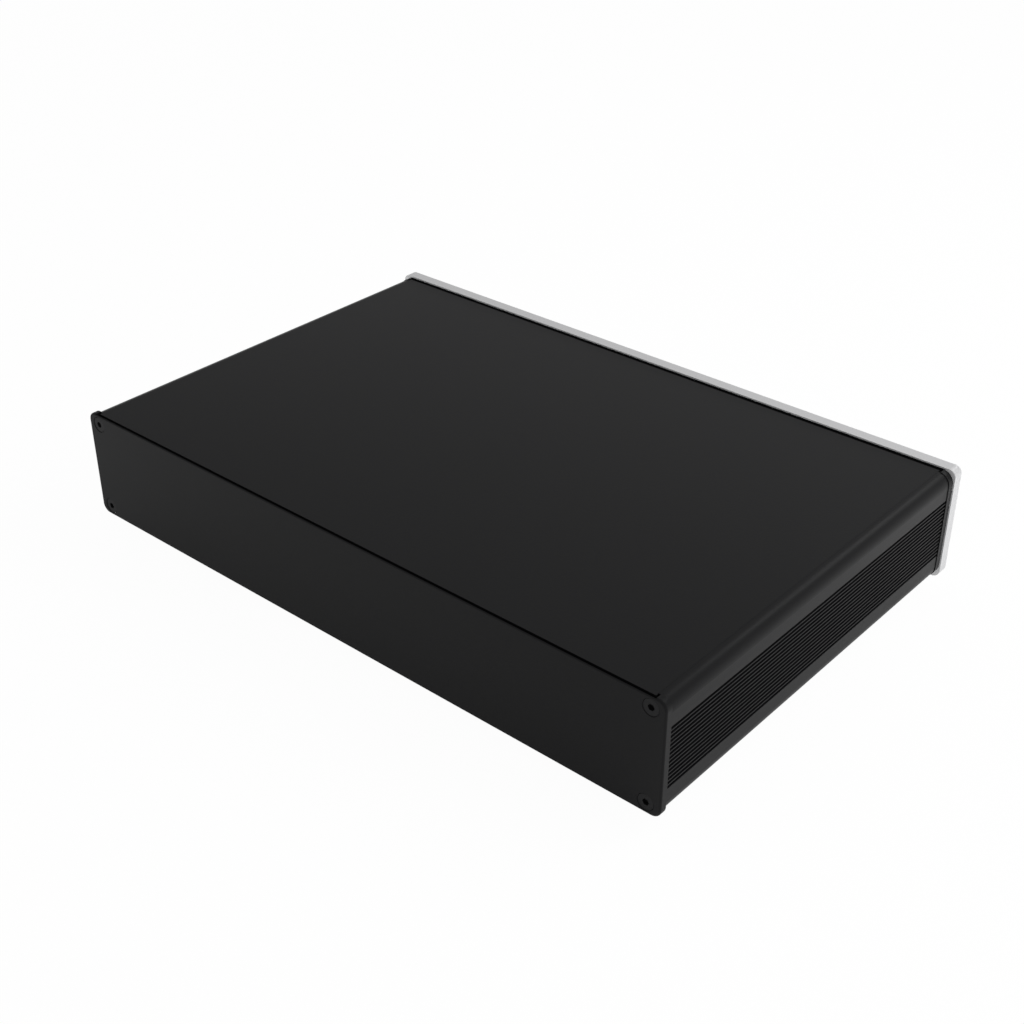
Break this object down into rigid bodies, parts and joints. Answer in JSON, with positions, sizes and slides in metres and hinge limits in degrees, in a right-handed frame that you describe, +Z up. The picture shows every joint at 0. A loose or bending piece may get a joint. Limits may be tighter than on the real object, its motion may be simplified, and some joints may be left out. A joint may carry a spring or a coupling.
{
  "type": "amplifier chassis",
  "caption": "Low, wide aluminium amplifier case: grooved side extrusions, slide-in covers, stepped end plates with countersunk screws, a thick silver front panel and turned feet.",
  "frame": {"origin": "on the ground under the middle of the chassis's outer box, where the rubber rings of the feet stand", "axes": "+Z up, front panel towards -Y, rear panel towards +Y, +X along the width to the right as seen from the front"},
  "size_m": [0.4316, 0.282, 0.0808],
  "materials": {
    "black_anodised_aluminium": "bead-blasted and anodised black, matte",
    "black_anodised_extrusion": "extruded, blasted and anodised black, matte",
    "silver_anodised_aluminium": "fine-blasted and anodised in natural silver, matte",
    "black_oxide_steel": "black oxide, satin",
    "zinc_plated_steel": "bright zinc plating",
    "black_rubber": "matte moulded rubber"
  },
  "bodies": {
    "root": {"front_panel": "silver_anodised_aluminium", "front_plate": "black_anodised_aluminium", "rear_panel": "black_anodised_aluminium", "top_cover": "black_anodised_aluminium", "bottom_cover": "black_anodised_aluminium", "left_side": "black_anodised_extrusion", "right_side": "black_anodised_extrusion", "rear_screws": "black_oxide_steel", "front_plate_screws": "black_oxide_steel", "front_panel_screws": "zinc_plated_steel", "foot_front_left": "black_anodised_aluminium", "foot_front_right": "black_anodised_aluminium", "foot_rear_left": "black_anodised_aluminium", "foot_rear_right": "black_anodised_aluminium", "pad_front_left": "black_rubber", "pad_front_right": "black_rubber", "pad_rear_left": "black_rubber", "pad_rear_right": "black_rubber", "foot_screws": "zinc_plated_steel", "foot_washers": "zinc_plated_steel", "foot_nuts": "zinc_plated_steel"}
  },
  "joints": []
}
